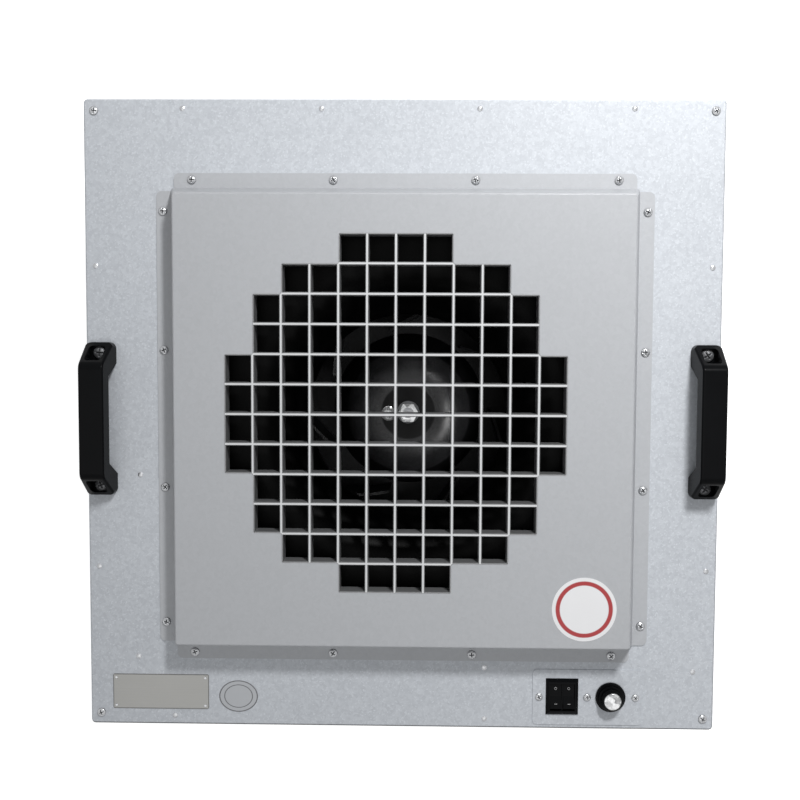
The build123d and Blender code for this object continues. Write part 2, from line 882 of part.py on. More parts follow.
# ---------------------------------------------------------------- fan carrier
# Four studs hang from the panel. A ribbed four-armed spider rides on them in rubber
# dampers and carries the motor; a baffle plate hangs on the lower ends.
stud_circle = stud_reach * 2**0.5
rib_length = stud_circle - damper_r - spider_hub_r
with BuildPart() as fan_studs:
    with Locations(*[(x, y, panel_under) for x, y in stud_places]):
        Cylinder(stud_r, panel_under - stud_low, align=down)
save(fan_studs.part, "fan_studs")

with BuildPart() as motor_spider:
    with BuildSketch(Plane.XY.offset(spider_low)):
        with Locations(fan_at):
            Circle(spider_hub_r)
            for angle in (45, 135):
                SlotCenterToCenter(2 * stud_circle, spider_arm, rotation=angle)
            Circle(spider_vent_r, mode=Mode.SUBTRACT)
            with PolarLocations(motor_screw_r, 4):
                Circle(screw_r + hole_gap, mode=Mode.SUBTRACT)
        with Locations(*stud_places):
            Circle(damper_neck_r, mode=Mode.SUBTRACT)
    extrude(amount=spider)
    with BuildSketch(Plane.XY.offset(spider_low)):
        with Locations(fan_at):
            with PolarLocations(spider_hub_r + rib_length / 2, 4, start_angle=45):
                with Locations(*[(0, side * (spider_arm - spider) / 2) for side in (-1, 1)]):
                    Rectangle(rib_length, spider)
    extrude(amount=-spider_rib)
save(motor_spider.part, "motor_spider")

with BuildPart() as motor_screws:
    with Locations((fan_at[0], fan_at[1], motor_low + motor_flange)):
        with PolarLocations(motor_screw_r, 4):
            add(pan_head(screw_head_r, screw_head_h, screw_r, screw_l))
save(motor_screws.part, "motor_screws")

damper_low = spider_low - damper_flange
damper_high = motor_low + damper_flange
damper = turned(
    (0, 0),
    (stud_r + nest_gap, damper_low),
    (damper_r, damper_low),
    (damper_r, spider_low),
    (damper_neck_r, spider_low),
    (damper_neck_r, motor_low),
    (damper_r, motor_low),
    (damper_r, damper_high),
    (stud_r + nest_gap, damper_high),
)
with BuildPart() as vibration_dampers:
    with Locations(*stud_places):
        add(damper)
save(vibration_dampers.part, "vibration_dampers")

nut_levels = (baffle_low - stud_nut_h, damper_low - stud_nut_h, damper_high)
with BuildPart() as stud_nuts:
    with Locations(*[(x, y, z) for x, y in stud_places for z in nut_levels]):
        add(hex_nut(stud_nut_flats, stud_nut_h, stud_r))
save(stud_nuts.part, "stud_nuts")

with BuildPart() as flow_baffle:
    with BuildSketch(Plane.XY.offset(baffle_low)):
        with Locations(fan_at):
            Rectangle(baffle_size, baffle_size)
        with Locations(*stud_places):
            Circle(stud_r + hole_gap, mode=Mode.SUBTRACT)
    extrude(amount=sheet)
    with BuildSketch(Plane.XY.offset(baffle_low)):
        with Locations(fan_at):
            Rectangle(baffle_size, baffle_size)
            Rectangle(baffle_size - 2 * sheet, baffle_size - 2 * sheet, mode=Mode.SUBTRACT)
    extrude(amount=baffle_edge)
save(flow_baffle.part, "flow_baffle")


# ---------------------------------------------------------------- handles
def handle(side):
    """A moulded bridge handle: sloped legs with screw wells, and a tapered grip"""
    foot = (side * handle_reach, handle_y, panel_top)
    half = handle_length / 2
    grip_half = handle_grip_length / 2
    gap_half = handle_gap_length / 2
    with BuildPart() as body:
        with BuildSketch(Plane(origin=foot, x_dir=(0, 1, 0), z_dir=(1, 0, 0))) as profile:
            with BuildLine():
                Polyline(
                    (-half, 0),
                    (-half, handle_heel),
                    (-grip_half, handle_high),
                    (grip_half, handle_high),
                    (half, handle_heel),
                    (half, 0),
                    (half - handle_leg, 0),
                    (gap_half, handle_high - handle_grip),
                    (-gap_half, handle_high - handle_grip),
                    (handle_leg - half, 0),
                    close=True,
                )
            make_face()
            fillet(profile.vertices().group_by(Axis.Y)[-1], handle_shoulder_r)
            fillet(profile.vertices().group_by(Axis.Y)[1], handle_heel_r)
        extrude(amount=handle_foot_w / 2, both=True)
        with BuildSketch(Plane(origin=foot, x_dir=(1, 0, 0), z_dir=(0, -1, 0))):
            with BuildLine():
                Polyline(
                    (-handle_foot_w / 2, 0),
                    (handle_foot_w / 2, 0),
                    (handle_top_w / 2, handle_high),
                    (-handle_top_w / 2, handle_high),
                    close=True,
                )
            make_face()
        extrude(amount=handle_length, both=True, mode=Mode.INTERSECT)
        with BuildSketch(Plane.XY.offset(panel_top)):
            with Locations((foot[0], handle_y)):
                RectangleRounded(handle_foot_w, handle_length, handle_end_r)
        extrude(amount=handle_high, mode=Mode.INTERSECT)
        fillet(body.faces().sort_by(Axis.Z)[-1].edges().filter_by(Axis.Y), handle_edge_r)
        for end in (-1, 1):
            with BuildSketch(Plane.XY.offset(panel_top + handle_floor)):
                with Locations((foot[0], handle_y + end * handle_screw_pitch / 2)):
                    RectangleRounded(handle_well_x, handle_well_y, handle_well_r)
            extrude(amount=handle_high, mode=Mode.SUBTRACT)
            with Locations(
                (foot[0], handle_y + end * handle_screw_pitch / 2, panel_top + handle_floor)
            ):
                Hole(handle_screw_r + hole_gap, depth=handle_floor)
    return body.part


save(handle(-1), "handle_left")
save(handle(1), "handle_right")

handle_screw_l = handle_floor + handle_screw_tail
with BuildPart() as handle_screws:
    with Locations(*[(x, y, panel_top + handle_floor) for x, y in handle_screw_places]):
        add(pan_head(handle_screw_head_r, handle_screw_head, handle_screw_r, handle_screw_l))
save(handle_screws.part, "handle_screws")

handle_nut_top = panel_under - sheet
with BuildPart() as handle_nuts:
    with Locations(*[(x, y, handle_nut_top - handle_nut_h) for x, y in handle_screw_places]):
        add(hex_nut(handle_nut_flats, handle_nut_h, handle_screw_r))
save(handle_nuts.part, "handle_nuts")

# ---------------------------------------------------------------- controls
with BuildPart() as control_plate:
    with BuildSketch(Plane.XY.offset(panel_top)):
        with Locations(plate_at):
            RectangleRounded(plate_x, plate_y, plate_corner_r)
        with Locations(*plate_screw_places):
            Circle(screw_r + hole_gap, mode=Mode.SUBTRACT)
        with Locations(switch_at):
            Rectangle(
                switch_body_x + 2 * hole_gap,
                switch_body_y + 2 * hole_gap,
                mode=Mode.SUBTRACT,
            )
        with Locations(knob_at):
            Circle(pot_neck_r + hole_gap, mode=Mode.SUBTRACT)
    extrude(amount=plate_sheet)
save(control_plate.part, "control_plate")

with BuildPart() as plate_screws:
    with Locations(*[(x, y, plate_top) for x, y in plate_screw_places]):
        add(pan_head(plate_screw_head_r, plate_screw_head_h, screw_r, screw_l))
save(plate_screws.part, "plate_screws")

# The switch body is a bevelled frame over a box, with two wells and a rib between.
rocker_w = (switch_well_x - switch_rib) / 2 - 2 * rocker_gap
rocker_offset = (switch_well_x + switch_rib) / 4
pivot_hole_r = rocker_pin_r + bearing_fit
with BuildPart() as switch_body:
    with Locations((switch_at[0], switch_at[1], plate_top)):
        Box(bezel_x, bezel_y, bezel_h, align=up)
        chamfer(switch_body.faces().sort_by(Axis.Z)[-1].edges(), bezel_bevel)
        Box(switch_body_x, switch_body_y, switch_body_h, align=down)
    with Locations((switch_at[0], switch_at[1], bezel_top)):
        Box(switch_well_x, switch_well_y, switch_well_depth, align=down, mode=Mode.SUBTRACT)
    with Locations((switch_at[0], switch_at[1], bezel_top - switch_well_depth)):
        Box(switch_rib, switch_well_y, switch_well_depth - switch_rib, align=up)
    with BuildSketch(Plane.YZ.offset(switch_at[0])):
        with Locations((switch_at[1], pivot_z)):
            Circle(pivot_hole_r)
    extrude(amount=switch_well_x / 2 + rocker_pin_l, both=True, mode=Mode.SUBTRACT)
save(switch_body.part, "switch_body")


def rocker(offset):
    """One rocker with its two pivot pins, resting on its far end"""
    across = Vector(0, 1, 0).rotate(Axis.X, -rocker_tilt)
    pivot = Plane(
        origin=(switch_at[0] + offset, switch_at[1], pivot_z), x_dir=across, z_dir=(1, 0, 0)
    )
    with BuildPart() as body:
        with BuildSketch(pivot):
            with BuildLine():
                Polyline(
                    (-rocker_half, -rocker_heel),
                    (-rocker_half, rocker_tip),
                    (0, rocker_dip),
                    (rocker_half, rocker_tip),
                    (rocker_half, -rocker_heel),
                    (0, -rocker_dip),
                    close=True,
                )
            make_face()
        extrude(amount=rocker_w / 2, both=True)
        with BuildSketch(pivot):
            Circle(rocker_pin_r)
        extrude(amount=rocker_w / 2 + rocker_pin_l, both=True)
    return body.part


save(rocker(-rocker_offset), "rocker_left")
save(rocker(rocker_offset), "rocker_right")

with BuildPart() as switch_terminals:
    with Locations((switch_at[0], switch_at[1], plate_top - switch_body_h)):
        with GridLocations(2 * rocker_offset, switch_body_y / 2, 2, 2):
            Box(tab_w, tab_t, tab_h, align=down)
save(switch_terminals.part, "switch_terminals")

# The knob is turned with a skirt and two steps; a bright cap closes its top.
knob_step_z = knob_low + knob_skirt_h
knob_grip_z = knob_step_z + knob_step_h
knob_bore_r = knob_shaft_r + shaft_fit
save(
    turned(
        knob_at,
        (knob_recess_r, knob_low),
        (knob_skirt_r, knob_low),
        (knob_skirt_r, knob_step_z - knob_edge),
        (knob_skirt_r - knob_edge, knob_step_z),
        (knob_step_r, knob_step_z),
        (knob_step_r, knob_grip_z - knob_edge),
        (knob_step_r - knob_edge, knob_grip_z),
        (knob_grip_r, knob_grip_z),
        (knob_grip_r, knob_high - knob_edge),
        (knob_grip_r - knob_edge, knob_high),
        (0, knob_high),
        (0, knob_high - knob_edge),
        (knob_bore_r, knob_high - knob_edge),
        (knob_bore_r, knob_low + knob_recess_h),
        (knob_recess_r, knob_low + knob_recess_h),
    ),
    "speed_knob",
)
with BuildPart() as knob_cap:
    with Locations((knob_at[0], knob_at[1], knob_high)):
        Cylinder(knob_cap_r, knob_cap_h, align=up)
    fillet(knob_cap.edges().sort_by(Axis.Z)[-1], knob_cap_h / 2)
save(knob_cap.part, "knob_cap")

pot_neck_top = knob_low + knob_recess_h - knob_stand
save(
    turned(
        knob_at,
        (0, panel_under - pot_h),
        (pot_r, panel_under - pot_h),
        (pot_r, panel_under),
        (pot_neck_r, panel_under),
        (pot_neck_r, pot_neck_top),
        (knob_shaft_r + bearing_fit, pot_neck_top),
        (knob_shaft_r + bearing_fit, knob_shaft_low),
        (0, knob_shaft_low),
    ),
    "potentiometer",
)
save(
    turned(
        knob_at,
        (0, knob_shaft_low + seat_gap),
        (knob_shaft_r, knob_shaft_low + seat_gap),
        (knob_shaft_r, knob_high - knob_edge),
        (0, knob_high - knob_edge),
    ),
    "knob_shaft",
)
with BuildPart() as potentiometer_nut:
    with Locations((knob_at[0], knob_at[1], plate_top)):
        add(hex_nut(pot_nut_flats, pot_nut_h, pot_neck_r))
save(potentiometer_nut.part, "potentiometer_nut")

with BuildPart() as speed_board:
    with Locations((knob_at[0], knob_at[1] + board_shift, panel_under - pot_h)):
        Box(board_x, board_y, board_t, align=down)
save(speed_board.part, "speed_board")


def folded_box(span_x, span_y, height, flanges, rivets):
    """An open-topped folded box under the panel, with inward flanges to rivet"""
    centre = ((span_x[0] + span_x[1]) / 2, (span_y[0] + span_y[1]) / 2)
    length = span_x[1] - span_x[0]
    width = span_y[1] - span_y[0]
    with BuildPart() as box:
        with BuildSketch(Plane.XY.offset(panel_under - height)):
            with Locations(centre):
                Rectangle(length, width)
        extrude(amount=height)
        with BuildSketch(Plane.XY.offset(panel_under - height + box_sheet)):
            with Locations(centre):
                Rectangle(length - 2 * box_sheet, width - 2 * box_sheet)
        extrude(amount=height - box_sheet, mode=Mode.SUBTRACT)
        with BuildSketch(Plane.XY.offset(panel_under - box_sheet)):
            for low_x, high_x, low_y, high_y in flanges:
                with Locations(((low_x + high_x) / 2, (low_y + high_y) / 2)):
                    Rectangle(high_x - low_x, high_y - low_y)
            with Locations(*rivets):
                Circle(rivet_r, mode=Mode.SUBTRACT)
        extrude(amount=box_sheet)
    return box.part


save(
    folded_box(
        control_box_x,
        control_box_y,
        control_box_h,
        [(*control_box_x, control_box_y[1] - control_box_flange, control_box_y[1])],
        control_rivets,
    ),
    "control_box",
)
save(
    folded_box(
        terminal_box_x,
        terminal_box_y,
        terminal_box_h,
        [
            (*terminal_box_x, terminal_box_y[0], terminal_box_y[0] + terminal_box_flange),
            (*terminal_box_x, terminal_box_y[1] - terminal_box_flange, terminal_box_y[1]),
        ],
        terminal_rivets,
    ),
    "terminal_box",
)
terminal_mid_x = sum(terminal_box_x) / 2
terminal_mid_y = sum(terminal_box_y) / 2
terminal_floor = panel_under - terminal_box_h + box_sheet
with BuildPart() as capacitor:
    with BuildSketch(Plane.XZ.offset(-terminal_mid_y - capacitor_gap)):
        with Locations((terminal_mid_x, terminal_floor + capacitor_r)):
            Circle(capacitor_r)
    extrude(amount=-capacitor_l)
    chamfer(capacitor.edges().filter_by(GeomType.CIRCLE), capacitor_edge)
save(capacitor.part, "capacitor")

with BuildPart() as terminal_block:
    with Locations((terminal_mid_x, terminal_mid_y - terminal_y / 2 - capacitor_gap, terminal_floor)):
        Box(terminal_x, terminal_y, terminal_h, align=up)
    with Locations(
        (terminal_mid_x, terminal_mid_y - terminal_y / 2 - capacitor_gap, terminal_floor + terminal_h)
    ):
        with GridLocations(terminal_x, terminal_y / terminal_ways, 1, terminal_ways - 1):
            Box(terminal_x, terminal_slot, terminal_h / 2, align=down, mode=Mode.SUBTRACT)
save(terminal_block.part, "terminal_block")

# ---------------------------------------------------------------- plates, stickers
with BuildPart() as nameplate:
    with BuildSketch(Plane.XY.offset(panel_top)):
        with Locations(nameplate_at):
            RectangleRounded(nameplate_x, nameplate_y, nameplate_corner_r)
    extrude(amount=nameplate_t)
save(nameplate.part, "nameplate")

with BuildPart() as nameplate_pins:
    with Locations((nameplate_at[0], nameplate_at[1], panel_top + nameplate_t)):
        with GridLocations(
            nameplate_x - 2 * nameplate_pin_inset, nameplate_y - 2 * nameplate_pin_inset, 2, 2
        ):
            Cylinder(nameplate_pin_r, nameplate_pin_h, align=up)
save(nameplate_pins.part, "nameplate_pins")

with BuildPart() as oval_sticker:
    with BuildSketch(Plane.XY.offset(panel_top)):
        with Locations(oval_at):
            Ellipse(oval_rx, oval_ry)
    extrude(amount=sticker_t)
save(oval_sticker.part, "oval_sticker")

with BuildPart() as round_sticker:
    with BuildSketch(Plane.XY.offset(cover_top)):
        with Locations(round_at):
            Circle(round_r)
    extrude(amount=sticker_t)
save(round_sticker.part, "round_sticker")


# ---------------------------------------------------------------- filter
# An extruded aluminium channel with a clip groove around its outer face.
frame_bands = (
    (0, filter_h, filter_skin),
    (0, filter_skin, filter_flange),
    (filter_h - filter_skin, filter_skin, filter_flange),
    (groove_low - groove_wall, groove_h + 2 * groove_wall, filter_shoulder),
)
with BuildPart() as filter_frame:
    for low, height, depth in frame_bands:
        with BuildSketch(Plane.XY.offset(low)):
            Rectangle(filter_x, filter_y)
            Rectangle(filter_x - 2 * depth, filter_y - 2 * depth, mode=Mode.SUBTRACT)
        extrude(amount=height)
    with BuildSketch(Plane.XY.offset(groove_low)):
        Rectangle(filter_x, filter_y)
        Rectangle(filter_x - 2 * groove_depth, filter_y - 2 * groove_depth, mode=Mode.SUBTRACT)
    extrude(amount=groove_h, mode=Mode.SUBTRACT)
save(filter_frame.part, "filter_frame")

guard_x = filter_x - 2 * filter_skin - 2 * pack_gap
guard_y = filter_y - 2 * filter_skin - 2 * pack_gap
guard_pitch_x = (guard_x - 2 * guard_border) / guard_cells
guard_pitch_y = (guard_y - 2 * guard_border) / guard_cells
with BuildPart() as filter_guard:
    with BuildSketch(Plane.XY.offset(filter_skin)):
        Rectangle(guard_x, guard_y)
        with GridLocations(guard_pitch_x, guard_pitch_y, guard_cells, guard_cells):
            Rectangle(guard_pitch_x - guard_bar, guard_pitch_y - guard_bar, mode=Mode.SUBTRACT)
    extrude(amount=guard_t)
save(filter_guard.part, "filter_guard")

# One pleated sheet, folded up and down across the width.
pack_x = filter_x - 2 * filter_shoulder - 2 * pack_gap
pack_y = filter_y - 2 * filter_shoulder - 2 * pack_gap
pleats = int(pack_x / pleat_pitch)
fold_x = [(i - pleats) * pleat_pitch / 2 for i in range(2 * pleats + 1)]
upper = [
    (x, pleat_high if i % 2 else pleat_low + pleat_web) for i, x in enumerate(fold_x)
]
lower = [(x, z - pleat_web) for x, z in upper]
with BuildPart() as filter_pack:
    with BuildSketch(Plane.XZ):
        with BuildLine():
            Polyline(*upper, *reversed(lower), close=True)
        make_face()
    extrude(amount=pack_y / 2, both=True)
save(filter_pack.part, "filter_pack")

with BuildPart() as filter_gasket:
    with BuildSketch(Plane.XY.offset(filter_h)):
        Rectangle(filter_x, filter_y)
        Rectangle(filter_x - 2 * gasket_w, filter_y - 2 * gasket_w, mode=Mode.SUBTRACT)
    extrude(amount=gasket_t)
save(filter_gasket.part, "filter_gasket")


# Bent clips on the walls hook into the frame's groove and pull the gasket tight.
def clip(wall_half, filter_half):
    """A clip on the wall that faces +X, hooked into the frame's groove"""
    outer = wall_half + clip_t
    hook = filter_half - groove_depth + seat_gap
    low = groove_low + seat_gap
    with BuildPart() as bent:
        with BuildSketch(Plane.XZ):
            with BuildLine():
                Polyline(
                    (outer, low),
                    (outer, clip_high),
                    (wall_half, clip_high),
                    (wall_half, low + clip_t),
                    (hook, low + clip_t),
                    (hook, low),
                    close=True,
                )
            make_face()
        extrude(amount=clip_w / 2, both=True)
        with BuildSketch(Plane.YZ.offset(wall_half)):
            with Locations((0, clip_screw_z)):
                Circle(screw_r + hole_gap)
        extrude(amount=clip_t, mode=Mode.SUBTRACT)
    return bent.part


side_halves = (
    (0, wall_x / 2, filter_x / 2),
    (90, wall_y / 2, filter_y / 2),
    (180, wall_x / 2, filter_x / 2),
    (270, wall_y / 2, filter_y / 2),
)
with BuildPart() as filter_clips:
    for turn, wall_half, filter_half in side_halves:
        with Locations(Location((0, 0, 0), (0, 0, turn))):
            with Locations((0, -clip_spread, 0), (0, clip_spread, 0)):
                add(clip(wall_half, filter_half))
save(filter_clips.part, "filter_clips")

with BuildPart() as clip_screws:
    for turn, wall_half, filter_half in side_halves:
        with Locations(Location((0, 0, 0), (0, 0, turn))):
            with Locations(
                *[
                    Location((wall_half + clip_t, y, clip_screw_z), (0, 90, 0))
                    for y in (-clip_spread, clip_spread)
                ]
            ):
                add(pan_head(screw_head_r, clip_screw_head_h, screw_r, clip_t + sheet))
save(clip_screws.part, "clip_screws")
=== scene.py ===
import bpy
import json
import math
import numpy as np
from mathutils import Euler, Matrix, Vector


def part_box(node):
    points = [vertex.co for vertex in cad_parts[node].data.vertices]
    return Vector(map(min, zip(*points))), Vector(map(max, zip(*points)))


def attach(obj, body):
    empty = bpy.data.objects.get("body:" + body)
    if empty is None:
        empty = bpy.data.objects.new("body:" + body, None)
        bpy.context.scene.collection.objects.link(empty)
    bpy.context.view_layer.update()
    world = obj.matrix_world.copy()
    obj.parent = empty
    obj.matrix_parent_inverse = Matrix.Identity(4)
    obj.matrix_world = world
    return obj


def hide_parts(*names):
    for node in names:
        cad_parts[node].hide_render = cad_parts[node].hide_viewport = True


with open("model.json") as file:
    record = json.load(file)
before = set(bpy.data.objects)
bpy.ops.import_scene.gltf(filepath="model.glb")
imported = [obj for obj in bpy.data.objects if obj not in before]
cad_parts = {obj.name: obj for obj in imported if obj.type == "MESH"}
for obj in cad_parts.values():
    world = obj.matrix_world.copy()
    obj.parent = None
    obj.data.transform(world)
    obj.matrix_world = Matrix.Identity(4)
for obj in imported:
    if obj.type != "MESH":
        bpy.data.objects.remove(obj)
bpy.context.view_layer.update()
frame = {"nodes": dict(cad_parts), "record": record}        # the construction, one mesh for each node
nodes = frame["nodes"]
mm = 0.001


# meshes from arrays

def gridQuads(rows, columns, closedRound=False):
    # neighbours in a grid make the quads; a closed grid joins its last column to its first
    index = np.arange(rows * columns).reshape(rows, columns)
    beside = np.roll(index, -1, axis=1) if closedRound else index[:, 1:]
    here = index if closedRound else index[:, :-1]
    return np.stack([here[:-1], beside[:-1], beside[1:], here[1:]], axis=-1).reshape(-1, 4)


def newMesh(name, points, quads):
    mesh = bpy.data.meshes.new(name)
    mesh.from_pydata(points.reshape(-1, 3).tolist(), [], quads.tolist())
    made = bpy.data.objects.new(name, mesh)
    bpy.context.scene.collection.objects.link(made)
    return made


def meshPiece(name, points, quads, body, material):
    piece = newMesh(name, points, quads)
    piece.data.validate()
    piece.data.update()
    piece.data.shade_smooth()
    piece.data.materials.append(material)
    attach(piece, body)
    return piece


def gridPiece(name, points, body, material):
    # points[i, j] is the place at row i and column j
    return meshPiece(name, points, gridQuads(*points.shape[:2]), body, material)


# node helpers

def feed(tree, socket, value):
    # another node's output is linked, anything else becomes the socket's own value
    if isinstance(value, bpy.types.NodeSocket):
        tree.links.new(value, socket)
    else:
        socket.default_value = value


def addNode(tree, kind, settings=None, inputs=None):
    node = tree.nodes.new(kind)
    for key, value in (settings or {}).items():
        setattr(node, key, value)
    for key, value in (inputs or {}).items():
        feed(tree, node.inputs[key], value)
    return node


def coordinates(tree, kind="Object"):
    return tree.nodes.new("ShaderNodeTexCoord").outputs[kind]


def newGroup(name, inputs, outputs):
    tree = bpy.data.node_groups.new(name, "ShaderNodeTree")
    for label, start in inputs.items():
        socket = tree.interface.new_socket(label, in_out="INPUT", socket_type="NodeSocketFloat")
        socket.default_value = start
    for label in outputs:
        tree.interface.new_socket(label, in_out="OUTPUT", socket_type="NodeSocketFloat")
    entry = tree.nodes.new("NodeGroupInput")
    leave = tree.nodes.new("NodeGroupOutput")
    return tree, entry.outputs, leave.inputs, coordinates(tree)


def math2(tree, kind, a, b):
    node = addNode(tree, "ShaderNodeMath", {"operation": kind}, {0: a, 1: b})
    return node.outputs[0]


def vectorMath(tree, kind, *values):
    inputs = dict(enumerate(values))
    return addNode(tree, "ShaderNodeVectorMath", {"operation": kind}, inputs).outputs


def separate(tree, vector):
    return addNode(tree, "ShaderNodeSeparateXYZ", {}, {"Vector": vector}).outputs


def noise(tree, place, scale, detail, roughness=0.5):
    return addNode(tree, "ShaderNodeTexNoise", {}, {
        "Vector": place, "Scale": scale, "Detail": detail, "Roughness": roughness}).outputs


def rescale(tree, value, low, high, newLow=0.0, newHigh=1.0):
    node = addNode(tree, "ShaderNodeMapRange", {}, {
        "Value": value, "From Min": low, "From Max": high, "To Min": newLow, "To Max": newHigh})
    return node.outputs["Result"]


def mixColour(tree, factor, first, second):
    node = addNode(tree, "ShaderNodeMix", {"data_type": "RGBA"})
    for key, value in (("Factor_Float", factor), ("A_Color", first), ("B_Color", second)):
        feed(tree, next(s for s in node.inputs if s.identifier == key), value)
    return next(s for s in node.outputs if s.identifier == "Result_Color")


# shared effects

# shares of each layer in the shade; the bend is in metres
spangleAndReflectionMix = {"bendScale": 55.0, "bend": 0.006, "finer": 2.3, "large": 0.42, "small": 0.22,
              "clouds": 0.36, "speckFrom": 0.90, "speckTo": 0.96}
drawnMix = {"streaks": 0.6, "slow": 0.4, "slowScale": 18.0}


def makeSpangleAndReflections():
    # crystals of two sizes, each with its own shade, over slow clouds; zinc spangle on sheet, painted
    # reflections on chrome
    tree, given, result, place = newGroup(
        "zincSpangleAndReflections", {"Crystals": 120.0, "Clouds": 6.0, "Specks": 0.3},
        ("Shade", "Gloss", "Height"))
    bent = noise(tree, place, spangleAndReflectionMix["bendScale"], 2.0)
    shifted = vectorMath(
        tree, "MULTIPLY_ADD", bent["Color"], (spangleAndReflectionMix["bend"],) * 3, place)[0]
    finer = math2(tree, "MULTIPLY", given["Crystals"], spangleAndReflectionMix["finer"])
    large, small = (
        addNode(tree, "ShaderNodeSeparateColor", {}, {
            "Color": addNode(tree, "ShaderNodeTexVoronoi", {}, {
                "Vector": shifted, "Scale": scale}).outputs["Color"]}).outputs
        for scale in (given["Crystals"], finer))
    clouds = noise(tree, place, given["Clouds"], 3.0, 0.55)
    crystals = math2(tree, "ADD",
                     math2(tree, "MULTIPLY", large[0], spangleAndReflectionMix["large"]),
                     math2(tree, "MULTIPLY", small[0], spangleAndReflectionMix["small"]))
    specks = rescale(tree, small[1], spangleAndReflectionMix["speckFrom"], spangleAndReflectionMix["speckTo"],
                     0.0, given["Specks"])
    shade = math2(tree, "ADD", math2(tree, "ADD", crystals, specks),
                  math2(tree, "MULTIPLY", clouds["Fac"], spangleAndReflectionMix["clouds"]))
    tree.links.new(shade, result["Shade"])
    tree.links.new(large[1], result["Gloss"])
    tree.links.new(math2(tree, "ADD", large[2], bent["Fac"]), result["Height"])
    return tree


def makeGrain():
    # a fine leathery surface and slow patches, for mouldings, paint and paper
    tree, given, result, place = newGroup(
        "fineGrain", {"Grain": 1500.0, "Patches": 25.0}, ("Shade", "Gloss", "Height"))
    fine = noise(tree, place, given["Grain"], 2.0)["Fac"]
    slow = noise(tree, place, given["Patches"], 4.0, 0.6)["Fac"]
    tree.links.new(slow, result["Shade"])
    tree.links.new(math2(tree, "MULTIPLY", math2(tree, "ADD", slow, fine), 0.5), result["Gloss"])
    tree.links.new(fine, result["Height"])
    return tree


def makeDrawn():
    # long fine streaks, as rolling, turning or brushing leaves
    tree, given, result, place = newGroup(
        "drawnStreaks", {"AlongX": 12.0, "AlongY": 900.0, "AlongZ": 900.0},
        ("Shade", "Gloss", "Height"))
    sizes = addNode(tree, "ShaderNodeCombineXYZ", {}, {
        "X": given["AlongX"], "Y": given["AlongY"], "Z": given["AlongZ"]})
    stretched = vectorMath(tree, "MULTIPLY", place, sizes.outputs[0])[0]
    streaks = noise(tree, stretched, 1.0, 3.0)["Fac"]
    slow = noise(tree, place, drawnMix["slowScale"], 2.0)["Fac"]
    both = math2(tree, "ADD", math2(tree, "MULTIPLY", streaks, drawnMix["streaks"]),
                 math2(tree, "MULTIPLY", slow, drawnMix["slow"]))
    tree.links.new(both, result["Shade"])
    tree.links.new(streaks, result["Gloss"])
    tree.links.new(streaks, result["Height"])
    return tree


effects = {"spangle": makeSpangleAndReflections(), "grain": makeGrain(), "drawn": makeDrawn()}
print("effects made")


# materials

